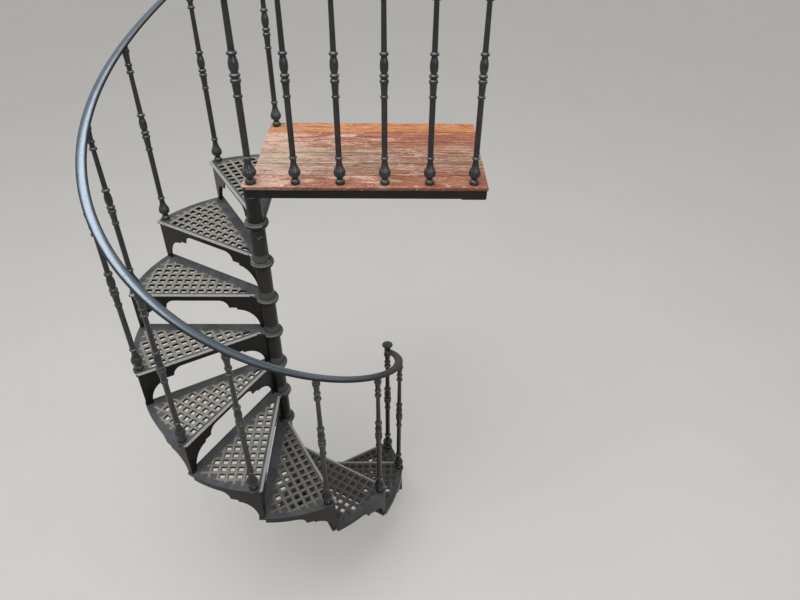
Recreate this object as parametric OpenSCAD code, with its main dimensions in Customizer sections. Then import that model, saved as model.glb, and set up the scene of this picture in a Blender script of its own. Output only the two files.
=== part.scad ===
// Cast-iron spiral stair with a boarded landing.
// Ten identical step castings stack on a centre pole, each turned from the one below.
// The origin is the centre of the base flange on the floor, and the walk goes up clockwise.

/* [Stair] */
// Height from one step to the next
rise = 230; // [200:1:250]
// Height from the top step to the landing boards
landing_rise = 197; // [180:1:250]
// Turn from one step to the next, in degrees
step_turn = 30; // [26:1:32]
// Radius of the outer rim of the steps
step_radius = 726; // [600:1:900]
// Distance of the balusters inside the rim
baluster_inset = 25; // [22:1:45]
// Distance of a baluster behind the nosing of its step
baluster_setback = 42; // [38:1:70]

/* [Column] */
// Radius of the centre pole
pole_radius = 24; // [16:1:28]
// Radius of a hub at its top
hub_radius = 38; // [34:1:44]
// Radius of a hub at its foot
hub_foot_radius = 42; // [38:1:48]
// Radius of the collar round a hub at plate level
collar_radius = 59; // [52:1:68]
// Height of the collar
collar_height = 30; // [24:1:40]
// Radius of the base flange
base_radius = 125; // [105:1:160]
// Thickness of the base flange at its rim
base_rim = 12; // [8:1:16]
// Height of the base flange at the pole
base_height = 26; // [20:1:36]
// Diameter of the bolt holes in the base flange
base_bolt = 14; // [10:1:18]
// Diameter of the circle through the bolt holes of the base flange
base_bolt_circle = 196; // [180:1:200]
// Diameter of the boss that takes the set screw of the top hub
screw_boss = 34; // [26:1:40]
// Diameter of the set screw hole
screw_hole = 11; // [8:1:14]
// Distance of the set screw below the top of its hub
screw_drop = 90; // [75:1:120]
// Distance that the boss of the set screw stands out
screw_reach = 12; // [8:1:16]

/* [Step casting] */
// Thickness of the step plate
plate_thickness = 13; // [9:1:18]
// Distance that a plate runs back under the nosing above
plate_lap = 40; // [34:1:55]
// Radius of the bead along the nosing
nosing_bead = 5.5; // [4:0.5:6]
// Distance between the holes of the lattice, centre to centre
lattice_pitch = 45; // [38:1:60]
// Side of the square holes of the lattice
lattice_hole = 27; // [18:1:32]
// Plain margin along the nosing
nosing_margin = 22; // [16:1:40]
// Plain margin along the rim
rim_margin = 40; // [30:1:60]
// Plain margin along the back edge
back_margin = 56; // [50:1:90]
// Distance of the first lattice hole from the column axis
lattice_start = 178; // [150:1:220]
// Radius of the raised boss under a baluster
boss_radius = 31; // [28:1:36]
// Height of the raised boss above the plate
boss_height = 3; // [2:0.5:5]
// Thickness of the riser panel
riser_thickness = 8; // [6:1:12]
// Distance of the riser panel behind the nosing
riser_setback = 9; // [8:1:16]
// Thickness of the skirt under the rim
skirt_thickness = 8; // [6:1:12]
// Distance of the skirt inside the rim
skirt_setback = 5; // [3:1:9]
// Width of the leg that stands on the step below
leg_width = 36; // [28:1:40]
// Height of the straight foot of the leg
leg_foot = 8; // [4:1:16]
// Width of the curve beside the leg
leg_curve = 88; // [70:1:100]
// Width of the curve beside the hub
hub_curve = 106; // [80:1:120]
// Width of the cusp between a curve and the arch
cusp_width = 48; // [36:1:60]
// Depth of the cusp below the plate top
cusp_depth = 104; // [90:1:120]
// Height of the small notch at the cusp
cusp_notch = 13; // [8:1:18]
// Depth of the arch crown below the plate top
arch_depth = 44; // [36:1:56]
// Length of the slot beside the hub
slot_length = 44; // [30:1:60]
// Width of the slot beside the hub
slot_width = 20; // [14:1:24]

/* [Balusters and handrail] */
// Height of a baluster above its seat
baluster_height = 926; // [850:1:1000]
// Height of the turned base of a baluster
baluster_base = 142; // [120:1:165]
// Radius of the foot of a baluster
foot_radius = 22; // [20:0.5:25]
// Radius of the bulb above the foot
bulb_radius = 29; // [25:0.5:32]
// Radius of the baluster shaft
shaft_radius = 13.5; // [11:0.5:15]
// Radius of the rings round the shaft
ring_radius = 20; // [17:0.5:22]
// Radius of the head of a baluster
head_radius = 17; // [15:0.5:20]
// Thickness of a newel against a baluster
newel_ratio = 1.18; // [1.1:0.01:1.35]
// Height of a newel above the handrail underside
newel_rise = 58; // [40:1:80]
// Width of the handrail
rail_width = 46; // [40:1:60]
// Thickness of the handrail at its crown
rail_thickness = 15; // [12:1:20]
// Height of the cap of a newel
newel_cap = 14; // [12:1:22]
// Distance of the handrail's centre line inside the step balusters
rail_offset = 6; // [0:1:6]
// Distance of the last landing baluster from the bearing end
landing_end = 65; // [50:1:120]

/* [Landing] */
// Length of the boards from the column axis to the bearing end
landing_length = 1100; // [1000:1:1300]
// Distance of the arrival edge beyond the column axis
landing_arrival = 7; // [0:1:12]
// Distance of the corner at the top newel beyond the column axis
landing_corner = 44; // [38:1:50]
// Distance of that corner behind the column axis
corner_length = 8; // [8:1:24]
// Distance of the front edge beyond the column axis
landing_front = 40; // [38:1:60]
// Distance of the back edge behind the column axis
landing_depth = 700; // [660:1:760]
// Number of boards
board_count = 6; // [5:1:9]
// Thickness of the boards
board_thickness = 16; // [12:1:30]
// Gap between two boards
board_gap = 4; // [3:1:8]
// Height of the landing frame
frame_height = 44; // [36:1:60]
// Thickness of the frame bars
frame_bar = 6; // [5:1:10]
// Width of the flange of the frame under the boards
frame_flange = 40; // [32:1:50]
// Distance of the frame inside the edge of the boards
frame_inset = 5; // [3:1:12]
// Radius of the rounded corner at the top newel
deck_corner = 24; // [15:1:30]
// Reach of the corner plate that rests on the column head
gusset = 120; // [105:1:160]
// Width of the plate that bears on the wall
bearing_width = 120; // [90:1:160]
// Diameter of the bolt holes in the bearing plate
bearing_bolt = 13; // [10:1:18]

/* [Hidden] */
$fn = 48;
step_count = 10;
arrival_angle = 90;
landing_balusters = 5;
fit = 0.3;
rail_seat = 0.6;
arc_steps = 8;
rail_ring_turn = 5;
slot_margin = 8;
hub_cusp = 20;
cusp_step = 6;
foot_rim = 4;
foot_flare = 40;
flange_neck = hub_foot_radius + 4;
flange_fillet = 14;
rim_chamfer = 3;
head_flare = 2;
head_flare_height = 30;
collar_lip = 5;
screw_direction = -60;
head_top = step_count * rise;
landing_top = head_top + landing_rise;
boards_underside = landing_top - board_thickness;
column_head_top = boards_underside - frame_height;
pole_end = 14;
pole_top = column_head_top + frame_bar + pole_end;
baluster_circle = step_radius - baluster_inset;
rail_circle = baluster_circle - rail_offset;
baluster_reach = sqrt(pow(baluster_circle, 2) - pow(baluster_setback, 2));
baluster_lag = atan(baluster_setback / baluster_reach);
cusp_inner = hub_foot_radius + hub_cusp + hub_curve;
rim_leg = step_radius - skirt_setback;
bead_end = rim_leg - skirt_thickness / 4;
back_baluster_x = 28;
back_baluster_edge = 40;
back_baluster_y = landing_depth - back_baluster_edge;
back_baluster_circle = norm([back_baluster_x, back_baluster_y]);
back_baluster_angle = atan2(back_baluster_y, back_baluster_x);
first_angle = arrival_angle + step_turn * step_count - baluster_lag;
last_angle = arrival_angle + step_turn - baluster_lag;
homing_rise = landing_rise - boss_height;
rail_slope = atan(rise / (baluster_circle * step_turn * PI / 180));
homing_slope = atan(homing_rise / (back_baluster_circle * (last_angle - back_baluster_angle) * PI / 180));
newel_neck = head_radius * newel_ratio;
landing_pitch = (landing_length - landing_end) / landing_balusters;

// Direction of the nosing of step n, counted from the floor
function nosing_angle(n) = arrival_angle + step_turn * (step_count + 1 - n);

// Points along an elliptic arc
function arc_points(cx, cy, rx, ry, from, to) =
    [for (k = [0:arc_steps])
        let (a = from + (to - from) * k / arc_steps)
        [cx + rx * cos(a), cy + ry * sin(a)]];

// Column
module base_flange() color("#23242a") {
    fillet_height = (base_height - base_rim) * 0.7;
    difference() {
        rotate_extrude()
            polygon(concat(
                [[0, 0], [base_radius, 0], [base_radius, base_rim - rim_chamfer],
                 [base_radius - rim_chamfer, base_rim]],
                reversed(arc_points(flange_neck + flange_fillet, base_rim + fillet_height,
                    flange_fillet, fillet_height, 180, 270)),
                [[flange_neck, base_height], [0, base_height]]));
        translate([0, 0, -1])
            cylinder(r = pole_radius + fit, h = base_height + 2);
        for (a = [45:90:315])
            rotate([0, 0, a])
                translate([base_bolt_circle / 2, 0, -1])
                    cylinder(d = base_bolt, h = base_height + 2);
    }
}

module centre_pole() color("#1d1e22")
    cylinder(r = pole_radius, h = pole_top);

module column_head() color("#23242a") {
    height = column_head_top - head_top;
    translate([0, 0, head_top])
        difference() {
            rotate_extrude()
                polygon(concat(
                    [[0, 0], [hub_foot_radius, 0], [hub_radius, head_flare_height]],
                    arc_points(
                        hub_radius, height - head_flare,
                        head_flare, head_flare_height - head_flare, -90, 0),
                    [[hub_radius + head_flare, height], [0, height]]));
            translate([0, 0, -1])
                cylinder(r = pole_radius + fit, h = height + 2);
        }
}

// Step casting, with its nosing along +X, its plate top at z = 0 and its body on the -Y side
module plate_outline() {
    back = -step_turn;
    lap_x = plate_lap * sin(back);
    lap_y = -plate_lap * cos(back);
    far = 2 * step_radius;
    intersection() {
        circle(r = step_radius, $fn = 96);
        polygon([[0, 0], [far, 0], [lap_x + far * cos(back), lap_y + far * sin(back)], [lap_x, lap_y]]);
    }
}

// Concave sweep that leads the nosing into the collar
module nosing_sweep() {
    sweep = collar_radius;
    reach = sqrt(pow(collar_radius + sweep, 2) - pow(sweep, 2));
    polygon(concat(
        [[0, -1], [reach, -1], [reach, 0]],
        arc_points(reach, sweep, sweep, sweep, 270, 180 + atan(sweep / reach) + 1),
        [[0, collar_radius / 2]]));
}

// Distance of a point from the back line of the step, positive behind it
function behind(x, y) = -x * sin(step_turn) - y * cos(step_turn);

function hole_fits(x, y) =
    let (s = lattice_hole / 2)
    let (rim = step_radius - rim_margin)
    min([for (dx = [-s, s], dy = [-s, s]) rim - norm([x + dx, y + dy])]) > 0
    && max([for (dx = [-s, s], dy = [-s, s]) behind(x + dx, y + dy)]) < plate_lap - back_margin
    && norm([x - baluster_reach, y + baluster_setback]) > boss_radius + s + 5;

module lattice_holes() {
    first_row = nosing_margin + lattice_hole / 2;
    for (row = [0:8])
        for (column = [0:12])
            let (x = lattice_start + column * lattice_pitch, y = -first_row - row * lattice_pitch)
                if (hole_fits(x, y))
                    translate([x, y])
                        square(lattice_hole, center = true);
}

module hub_slot() {
    half = (slot_length - slot_width) / 2;
    translate([lattice_start - lattice_hole / 2 - slot_margin - slot_length / 2, -nosing_margin - slot_width / 2])
        hull()
            for (x = [-half, half])
                translate([x, 0])
                    circle(d = slot_width, $fn = 24);
}

// Opening under an edge, drawn from the leg at reach to the cusp on its inner side
function leg_side(reach, drop) = concat(
    [[reach - leg_width, -drop - 1]],
    arc_points(reach - leg_width - leg_curve, leg_foot - rise, leg_curve, rise - leg_foot - cusp_depth, 0, 90),
    [[reach - leg_width - leg_curve - cusp_step, -cusp_depth],
     [reach - leg_width - leg_curve - cusp_step, -cusp_depth + cusp_notch],
     [reach - leg_width - leg_curve - cusp_width, -cusp_depth + cusp_notch]]);

function arch_side(x, toward) =
    let (r = cusp_depth - cusp_notch - arch_depth)
    [for (k = [0:arc_steps]) let (a = 90 * k / arc_steps)
        [x + toward * r * (1 - cos(a)), -cusp_depth + cusp_notch + r * sin(a)]];

function reversed(points) = [for (k = [len(points) - 1:-1:0]) points[k]];

module riser_opening(drop) {
    arch_outer = rim_leg - leg_width - leg_curve - cusp_width;
    arch_inner = cusp_inner + cusp_width;
    polygon(concat(
        leg_side(rim_leg, drop),
        arch_side(arch_outer, -1),
        reversed(arch_side(arch_inner, 1)),
        [[cusp_inner + cusp_step, -cusp_depth + cusp_notch], [cusp_inner + cusp_step, -cusp_depth]],
        arc_points(cusp_inner, leg_foot - rise, hub_curve, rise - leg_foot - cusp_depth, 90, 180),
        [[cusp_inner - hub_curve, -drop - 1]]));
}

module riser_panel(drop) {
    translate([0, -riser_setback, 0])
        rotate([90, 0, 0])
            linear_extrude(height = riser_thickness)
                difference() {
                    translate([pole_radius + 8, -drop])
                        square([rim_leg - skirt_thickness / 2 - pole_radius - 8, drop - plate_thickness / 2]);
                    riser_opening(drop);
                }
}

// Skirt under the rim, cut along the chord with the motif of the riser panel
module rim_skirt(drop) {
    chord = sin(step_turn / 2) * rim_leg;
    back_end = -step_turn - atan(skirt_thickness / rim_leg);
    front_end = -asin(riser_setback / rim_leg);
    difference() {
        rotate([0, 0, back_end])
            rotate_extrude(angle = front_end - back_end, $fn = 96)
                translate([rim_leg - skirt_thickness, -drop])
                    square([skirt_thickness, drop - plate_thickness / 2]);
        rotate([0, 0, -step_turn / 2])
            translate([rim_leg / 2, 0, 0])
                rotate([90, 0, 90])
                    linear_extrude(height = rim_leg)
                        polygon(concat(
                            leg_side(chord, drop),
                            arch_side(chord - leg_width - leg_curve - cusp_width, -1),
                            [[-2 * chord, -arch_depth], [-2 * chord, -drop - 1]]));
    }
}

module hub(drop) {
    rotate_extrude()
        polygon(concat(
            [[pole_radius + fit, 0], [collar_radius - collar_lip, 0]],
            arc_points(
                collar_radius - 2 * collar_lip, -collar_height / 2,
                2 * collar_lip, collar_height / 2 - 1, 60, -60),
            [[collar_radius - collar_lip, -collar_height], [hub_radius + collar_lip, -collar_height],
             [hub_radius + collar_lip, -collar_height - 1.5 * collar_lip],
             [hub_radius, -collar_height - 3 * collar_lip], [hub_radius, foot_flare - drop],
             [hub_foot_radius, foot_rim - drop], [hub_foot_radius, -drop],
             [pole_radius + fit, -drop]]));
}

// Round boss on the side of the top hub, drilled for the screw that locks it to the pole
module set_screw_boss() {
    translate([0, 0, head_top - screw_drop])
        rotate([0, 0, screw_direction])
            rotate([0, 90, 0])
                difference() {
                    translate([0, 0, hub_radius - 6])
                        cylinder(d = screw_boss, h = 6 + screw_reach);
                    translate([0, 0, hub_radius + 1])
                        cylinder(d = screw_hole, h = screw_reach);
                }
}

module step_casting(drop, foot_clear) {
    difference() {
        union() {
            translate([0, 0, -plate_thickness])
                linear_extrude(height = plate_thickness)
                    difference() {
                        union() {
                            plate_outline();
                            nosing_sweep();
                        }
                        circle(r = hub_radius);
                        lattice_holes();
                        hub_slot();
                    }
            translate([collar_radius + collar_height, 0, -plate_thickness / 2])
                rotate([0, 90, 0])
                    cylinder(r = nosing_bead, h = bead_end - collar_radius - collar_height, $fn = 24);
            translate([baluster_reach, -baluster_setback, -plate_thickness])
                cylinder(r = boss_radius, h = plate_thickness + boss_height);
            riser_panel(drop);
            rim_skirt(drop);
        }
        translate([0, 0, -2 * rise])
            cylinder(r = hub_radius - 4, h = 3 * rise);
        if (foot_clear > 0)
            translate([0, 0, -rise - 1])
                cylinder(r = base_radius + 4, h = foot_clear + 1);
    }
    hub(drop - foot_clear);
}

module step(n) color("#3b3b40") {
    lowest = n == 1;
    translate([0, 0, n * rise])
        rotate([0, 0, nosing_angle(n)])
            step_casting(rise, lowest ? base_height : 0);
    if (n == step_count)
        set_screw_boss();
}

// Turned profile of a baluster, thickened by t for a newel
function baluster_profile(t) =
    let (h = baluster_height, b = baluster_base)
    let (s = shaft_radius * t, foot = foot_radius * t, ring = ring_radius * t, head = head_radius * t)
    concat(
        [[0, 0], [foot, 0], [foot, b * 0.1], [foot * 0.88, b * 0.135]],
        [[s * 1.08, b * 0.165], [s * 1.06, b * 0.205]],
        arc_points(s, b * 0.36, bulb_radius * t - s, b * 0.12, -70, 50),
        [[s * 1.5, b * 0.58], [s * 1.12, b * 0.69], [s, b * 0.79], [s, b * 0.865]],
        [[foot * 0.8, b * 0.88], [foot * 0.86, b * 0.91], [foot * 0.8, b * 0.94], [s, b * 0.955]],
        [[s, h * 0.434], [s * 1.3, h * 0.439], [s * 1.3, h * 0.447], [s, h * 0.452]],
        [[s * 1.22, h * 0.504], [ring, h * 0.51], [ring, h * 0.52], [s * 1.1, h * 0.526]],
        [[s * 1.1, h * 0.53], [ring, h * 0.535], [ring, h * 0.544], [s, h * 0.55]],
        arc_points(s * 0.85, h * 0.585, ring * 0.96 - s * 0.85, h * 0.031, -70, 45),
        [[s * 1.04, h * 0.618], [s * 0.95, h * 0.628], [ring * 0.96, h * 0.632], [ring * 0.96, h * 0.641]],
        [[s * 0.92, h * 0.647], [s * 0.81, h * 0.855], [ring * 0.9, h * 0.861], [ring * 0.9, h * 0.869]],
        [[s * 0.9, h * 0.874], [s * 0.9, h * 0.893], [ring * 0.85, h * 0.898], [ring * 0.85, h * 0.906]],
        [[s * 0.9, h * 0.911], [s, h * 0.93], [head * 0.92, h * 0.958], [head * 1.15, h * 0.965]],
        [[head * 1.15, h * 0.978], [head, h * 0.983]]);

module baluster(top) {
    rotate_extrude()
        polygon(concat(baluster_profile(1), [[head_radius, top], [0, top]]));
}

// Baluster with its head cut to the slope of the handrail, which falls along +Y
module sloped_baluster(slope) {
    cut = 4 * head_radius;
    difference() {
        baluster(baluster_height + head_radius * tan(slope) + 2);
        translate([0, 0, baluster_height])
            rotate([-slope, 0, 0])
                translate([0, 0, cut / 2])
                    cube(cut, center = true);
    }
}

module step_baluster(n) color("#2a2b31") {
    rotate([0, 0, nosing_angle(n) - baluster_lag])
        translate([baluster_circle, 0, n * rise + boss_height])
            sloped_baluster(rail_slope);
}

module newel(height) {
    rotate_extrude()
        polygon(concat(
            baluster_profile(newel_ratio),
            [[newel_neck, height - newel_cap], [newel_neck * 1.5, height - newel_cap * 0.75],
             [newel_neck * 1.7, height - newel_cap * 0.5], [newel_neck * 1.6, height - newel_cap * 0.2],
             [newel_neck * 1.1, height], [0, height]]));
}

module bottom_newel() color("#2a2b31") {
    rotate([0, 0, nosing_angle(1)])
        translate([baluster_reach, -baluster_setback, rise + boss_height])
            newel(baluster_height + newel_rise);
}

module top_newel() color("#2a2b31")
    translate([0, 0, landing_top])
        newel(baluster_height + newel_rise);

module landing_baluster(n) color("#2a2b31")
    translate([n * landing_pitch, 0, landing_top])
        baluster(baluster_height);

module back_baluster() color("#2a2b31")
    rotate([0, 0, back_baluster_angle])
        translate([back_baluster_circle, 0, landing_top])
            sloped_baluster(homing_slope);

// Handrail, a flat bar with a rounded crown
rail_section = concat(
    [[-rail_width / 2, 0], [rail_width / 2, 0], [rail_width / 2, rail_thickness * 0.35]],
    [for (k = [1:7]) let (a = 180 * k / 8)
        [rail_width / 2 * cos(a), rail_thickness * (0.35 + 0.65 * sin(a))]],
    [[-rail_width / 2, rail_thickness * 0.35]]);

// Share of the way from the last step baluster to the back baluster
function homing(angle) = max(0, (last_angle - angle) / (last_angle - back_baluster_angle));

function rail_radius(angle) =
    rail_circle + (back_baluster_circle - rail_circle) * pow(homing(angle), 2);

function rail_height(angle) =
    head_top + boss_height + baluster_height + rail_seat
    + rise * min(0, last_angle - angle) / step_turn
    + homing_rise * homing(angle);

function rail_point(angle, section) =
    let (slope = atan((rail_height(angle - 0.5) - rail_height(angle + 0.5)) / (rail_radius(angle) * PI / 180)))
    let (u = rail_radius(angle) + section.x)
    let (side = section.y * sin(slope))
    [u * cos(angle) + side * -sin(angle), u * sin(angle) + side * cos(angle),
     rail_height(angle) + section.y * cos(slope)];

module spiral_handrail() color("#5c6470") {
    from = back_baluster_angle - 3;
    to = first_angle - asin((newel_neck + fit + rail_thickness * sin(rail_slope)) / baluster_circle);
    rings = ceil((to - from) / rail_ring_turn);
    sides = len(rail_section);
    polyhedron(
        points = [for (k = [0:rings], p = rail_section) rail_point(from + (to - from) * k / rings, p)],
        faces = concat(
            [[for (s = [0:sides - 1]) s]],
            [for (k = [0:rings - 1], s = [0:sides - 1])
                [k * sides + s, (k + 1) * sides + s, (k + 1) * sides + (s + 1) % sides]],
            [for (k = [0:rings - 1], s = [0:sides - 1])
                [k * sides + s, (k + 1) * sides + (s + 1) % sides, k * sides + (s + 1) % sides]],
            [[for (s = [sides - 1:-1:0]) rings * sides + s]]));
}

module landing_handrail() color("#5c6470")
    translate([newel_neck + fit, 0, landing_top + baluster_height])
        rotate([90, 0, 90])
            linear_extrude(height = landing_length - frame_inset - newel_neck - fit)
                polygon(rail_section);

// Landing
module deck_outline(inset) {
    corner = -landing_corner + inset;
    left = -landing_arrival + inset;
    front = -landing_front + inset;
    sweep = landing_corner - landing_arrival;
    polygon(concat(
        arc_points(corner + deck_corner, front + deck_corner, deck_corner, deck_corner, 180, 270),
        [[landing_length - inset, front], [landing_length - inset, landing_depth - inset],
         [left, landing_depth - inset]],
        arc_points(left, corner_length - inset, sweep, sweep, 90, 180)));
}

module landing_frame() color("#26272c") {
    flange_z = boards_underside - frame_bar;
    bottom = boards_underside - frame_height;
    inner = frame_inset + frame_bar;
    under_rim = frame_inset + frame_bar / 2;
    flange = frame_inset + frame_flange;
    difference() {
        union() {
            translate([0, 0, bottom])
                linear_extrude(height = frame_height)
                    difference() {
                        deck_outline(frame_inset);
                        deck_outline(inner);
                    }
            translate([0, 0, flange_z])
                linear_extrude(height = frame_bar)
                    difference() {
                        deck_outline(under_rim);
                        translate([flange - landing_arrival, flange - landing_front])
                            square([landing_length + landing_arrival - 2 * flange,
                                landing_depth + landing_front - 2 * flange]);
                    }
            translate([0, 0, bottom])
                linear_extrude(height = frame_bar)
                    intersection() {
                        deck_outline(under_rim);
                        translate([-landing_corner, -landing_front])
                            square([landing_corner + gusset, landing_front + gusset]);
                    }
            for (x = [landing_length / 3, landing_length * 2 / 3])
                translate([x, -landing_front + inner - 1, bottom])
                    cube([frame_bar, landing_front + landing_depth - 2 * inner + 2, frame_height]);
            translate([landing_length - bearing_width, -landing_front + under_rim, bottom - frame_bar])
                cube([bearing_width - under_rim, landing_front + landing_depth - 2 * under_rim, frame_bar]);
        }
        translate([0, 0, bottom - 1])
            cylinder(r = pole_radius + fit, h = frame_bar + 2);
        for (y = [landing_depth * 0.2, landing_depth * 0.75])
            translate([landing_length - bearing_width / 2, y, bottom - frame_bar - 1])
                cylinder(d = bearing_bolt, h = frame_bar + 2);
    }
}

module deck_boards() color("#8a4a3c") {
    pitch = (landing_front + landing_depth + board_gap) / board_count;
    translate([0, 0, boards_underside])
        linear_extrude(height = board_thickness)
            intersection() {
                deck_outline(0);
                for (n = [0:board_count - 1])
                    translate([-landing_corner - 1, -landing_front + n * pitch])
                        square([landing_corner + landing_length + 2, pitch - board_gap]);
            }
}

base_flange();
centre_pole();
for (n = [1:step_count])
    step(n);
column_head();
bottom_newel();
for (n = [2:step_count])
    step_baluster(n);
spiral_handrail();
landing_frame();
deck_boards();
top_newel();
for (n = [1:landing_balusters])
    landing_baluster(n);
back_baluster();
landing_handrail();
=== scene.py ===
"""Cast-iron spiral stair with a boarded landing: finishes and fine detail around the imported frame.

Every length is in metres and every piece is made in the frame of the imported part:
+Z up the column, +X along the landing to its bearing end, +Y to the landing's back edge.
"""

import logging
import math
from dataclasses import dataclass
from enum import Enum
from typing import Any, Callable, Iterable, Sequence

import bpy
import numpy as np
from mathutils import Matrix, Vector, noise

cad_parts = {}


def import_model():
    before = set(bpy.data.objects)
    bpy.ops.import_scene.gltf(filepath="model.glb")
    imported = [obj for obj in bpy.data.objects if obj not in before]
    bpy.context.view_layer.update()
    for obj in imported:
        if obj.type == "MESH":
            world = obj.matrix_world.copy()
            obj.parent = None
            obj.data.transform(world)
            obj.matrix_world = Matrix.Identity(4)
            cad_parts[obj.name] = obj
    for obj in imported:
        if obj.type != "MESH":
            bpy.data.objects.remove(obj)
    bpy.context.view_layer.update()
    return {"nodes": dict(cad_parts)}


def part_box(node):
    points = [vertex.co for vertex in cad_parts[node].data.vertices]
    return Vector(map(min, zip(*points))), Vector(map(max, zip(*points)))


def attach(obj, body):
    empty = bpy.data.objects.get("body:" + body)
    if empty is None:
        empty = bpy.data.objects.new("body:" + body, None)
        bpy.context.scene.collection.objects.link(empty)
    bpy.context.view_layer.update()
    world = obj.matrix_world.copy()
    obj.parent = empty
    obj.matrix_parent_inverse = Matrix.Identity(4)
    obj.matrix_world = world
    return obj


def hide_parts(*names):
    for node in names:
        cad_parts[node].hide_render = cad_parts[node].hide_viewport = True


LOG = logging.getLogger("spiral_stair")
BODY = "root"
MM = 0.001

Point = tuple[float, float]
Span = tuple[float, float]

# Corners that turn by less than this stay as they are, and a rounding takes at most this share of a side.
SHARP_TURN = math.radians(16)
MOST_ROUNDED = 0.45
NO_LENGTH = 1e-7

# Rays that look round each point for a near edge, and how far the normals agree at an edge and on a flat.
BEVEL_SAMPLES = 4
EDGE_BEND = (0.97, 0.8)


class Slot(Enum):
    """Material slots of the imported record."""

    CASTING = "casting_paint"
    STEP = "step_paint"
    BALUSTER = "baluster_paint"
    HANDRAIL = "handrail_paint"
    FRAME = "frame_paint"
    DECK = "deck_stain"
    STEEL = "pole_steel"


class Shade(Enum):
    """How the faces of a mesh are shaded."""

    SMOOTH = 180.0
    CREASED = 34.0
    CRISP = 20.0


# Helpers for meshes


def make_object(
    name: str, mesh: bpy.types.Mesh, finish: bpy.types.Material, shade: Shade
) -> bpy.types.Object:
    """Links a mesh to the scene under its finish.

    Args:
        name: Name of the new piece.
        mesh: Its finished mesh.
        finish: The material of all its faces.
        shade: How its edges are shaded.

    Returns:
        The new object.
    """
    mesh.materials.append(finish)
    mesh.shade_smooth()
    mesh.set_sharp_from_angle(angle=math.radians(shade.value))
    piece = bpy.data.objects.new(name, mesh)
    bpy.context.scene.collection.objects.link(piece)
    return piece


def mesh_of_loops(name: str, loops: Sequence[np.ndarray]) -> bpy.types.Mesh:
    """Skins a row of closed loops with quads and closes both ends.

    Args:
        name: Name of the mesh.
        loops: Loops of points, all of one length, wound anticlockwise seen from ahead.

    Returns:
        A closed mesh.
    """
    count, last = len(loops[0]), (len(loops) - 1) * len(loops[0])
    faces: list[list[int]] = []
    for here in range(0, last, count):
        ahead = here + count
        for k in range(count):
            after = (k + 1) % count
            faces.append([here + k, here + after, ahead + after, ahead + k])
    faces.append(list(range(count))[::-1])
    faces.append([last + k for k in range(count)])
    mesh = bpy.data.meshes.new(name)
    mesh.from_pydata(np.concatenate(loops).tolist(), [], faces)
    mesh.update()
    return mesh


def joined(name: str, meshes: Sequence[bpy.types.Mesh]) -> bpy.types.Mesh:
    """Joins several closed meshes into one mesh that keeps them as separate shells.

    Args:
        name: Name of the new mesh.
        meshes: The meshes to join, which are removed.

    Returns:
        The joined mesh.
    """
    points: list[Sequence[float]] = []
    faces: list[list[int]] = []
    for mesh in meshes:
        start = len(points)
        points.extend(tuple(v.co) for v in mesh.vertices)
        faces.extend([start + k for k in polygon.vertices] for polygon in mesh.polygons)
        bpy.data.meshes.remove(mesh)
    whole = bpy.data.meshes.new(name)
    whole.from_pydata(points, [], faces)
    whole.update()
    return whole


def placed(mesh: bpy.types.Mesh, matrix: Matrix) -> bpy.types.Mesh:
    """Moves a mesh by a matrix and returns it."""
    mesh.transform(matrix)
    return mesh


def arc(cx: float, cy: float, rx: float, ry: float, start: float, end: float, steps: int = 14) -> list[Point]:
    """Points along an elliptic arc.

    Args:
        cx: First coordinate of the centre.
        cy: Second coordinate of the centre.
        rx: Radius along the first coordinate.
        ry: Radius along the second coordinate.
        start: First angle in degrees.
        end: Last angle in degrees.
        steps: Number of chords.

    Returns:
        The points, both ends included.
    """
    angles = [math.radians(start + (end - start) * k / steps) for k in range(steps + 1)]
    return [(cx + rx * math.cos(a), cy + ry * math.sin(a)) for a in angles]


def eased(points: Sequence[Point], radius: float, steps: int = 3) -> list[Point]:
    """Rounds the sharp corners of an open outline, as casting and paint do.

    Args:
        points: The outline.
        radius: Radius of the rounding.
        steps: Number of chords in each rounding.

    Returns:
        The outline with a small curve at each corner.
    """
    rounded = [points[0]]
    for before, corner, after in zip(points, points[1:], points[2:]):
        c = Vector(corner)
        back, ahead = Vector(before) - c, Vector(after) - c
        if min(back.length, ahead.length) < NO_LENGTH:
            continue
        turn = math.pi - back.angle(ahead)
        if turn < SHARP_TURN:
            rounded.append(corner)
            continue
        cut = min(radius * math.tan(turn / 2), back.length * MOST_ROUNDED, ahead.length * MOST_ROUNDED)
        a, b = c + back.normalized() * cut, c + ahead.normalized() * cut
        for k in range(steps + 1):
            t = k / steps
            rounded.append(tuple(a * (1 - t) ** 2 + c * (2 * t * (1 - t)) + b * t**2))
    rounded.append(points[-1])
    return rounded


def flowing(points: Sequence[Point], steps: int = 5) -> list[Point]:
    """Points along a smooth curve that passes through all the given points.

    Args:
        points: The points, four or more.
        steps: Number of chords between two of them.

    Returns:
        The points of the curve, both ends included.
    """
    polish_and_light = [Vector(p) for p in (points[0], *points, points[-1])]
    curve: list[Point] = []
    for a, b, c, d in zip(polish_and_light, polish_and_light[1:], polish_and_light[2:], polish_and_light[3:]):
        for k in range(steps):
            t = k / steps
            bend = (c - a) * t + (a * 2 - b * 5 + c * 4 - d) * t**2 + (b * 3 - a - c * 3 + d) * t**3
            curve.append(tuple(b + bend / 2))
    return curve + [tuple(points[-1])]


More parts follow.
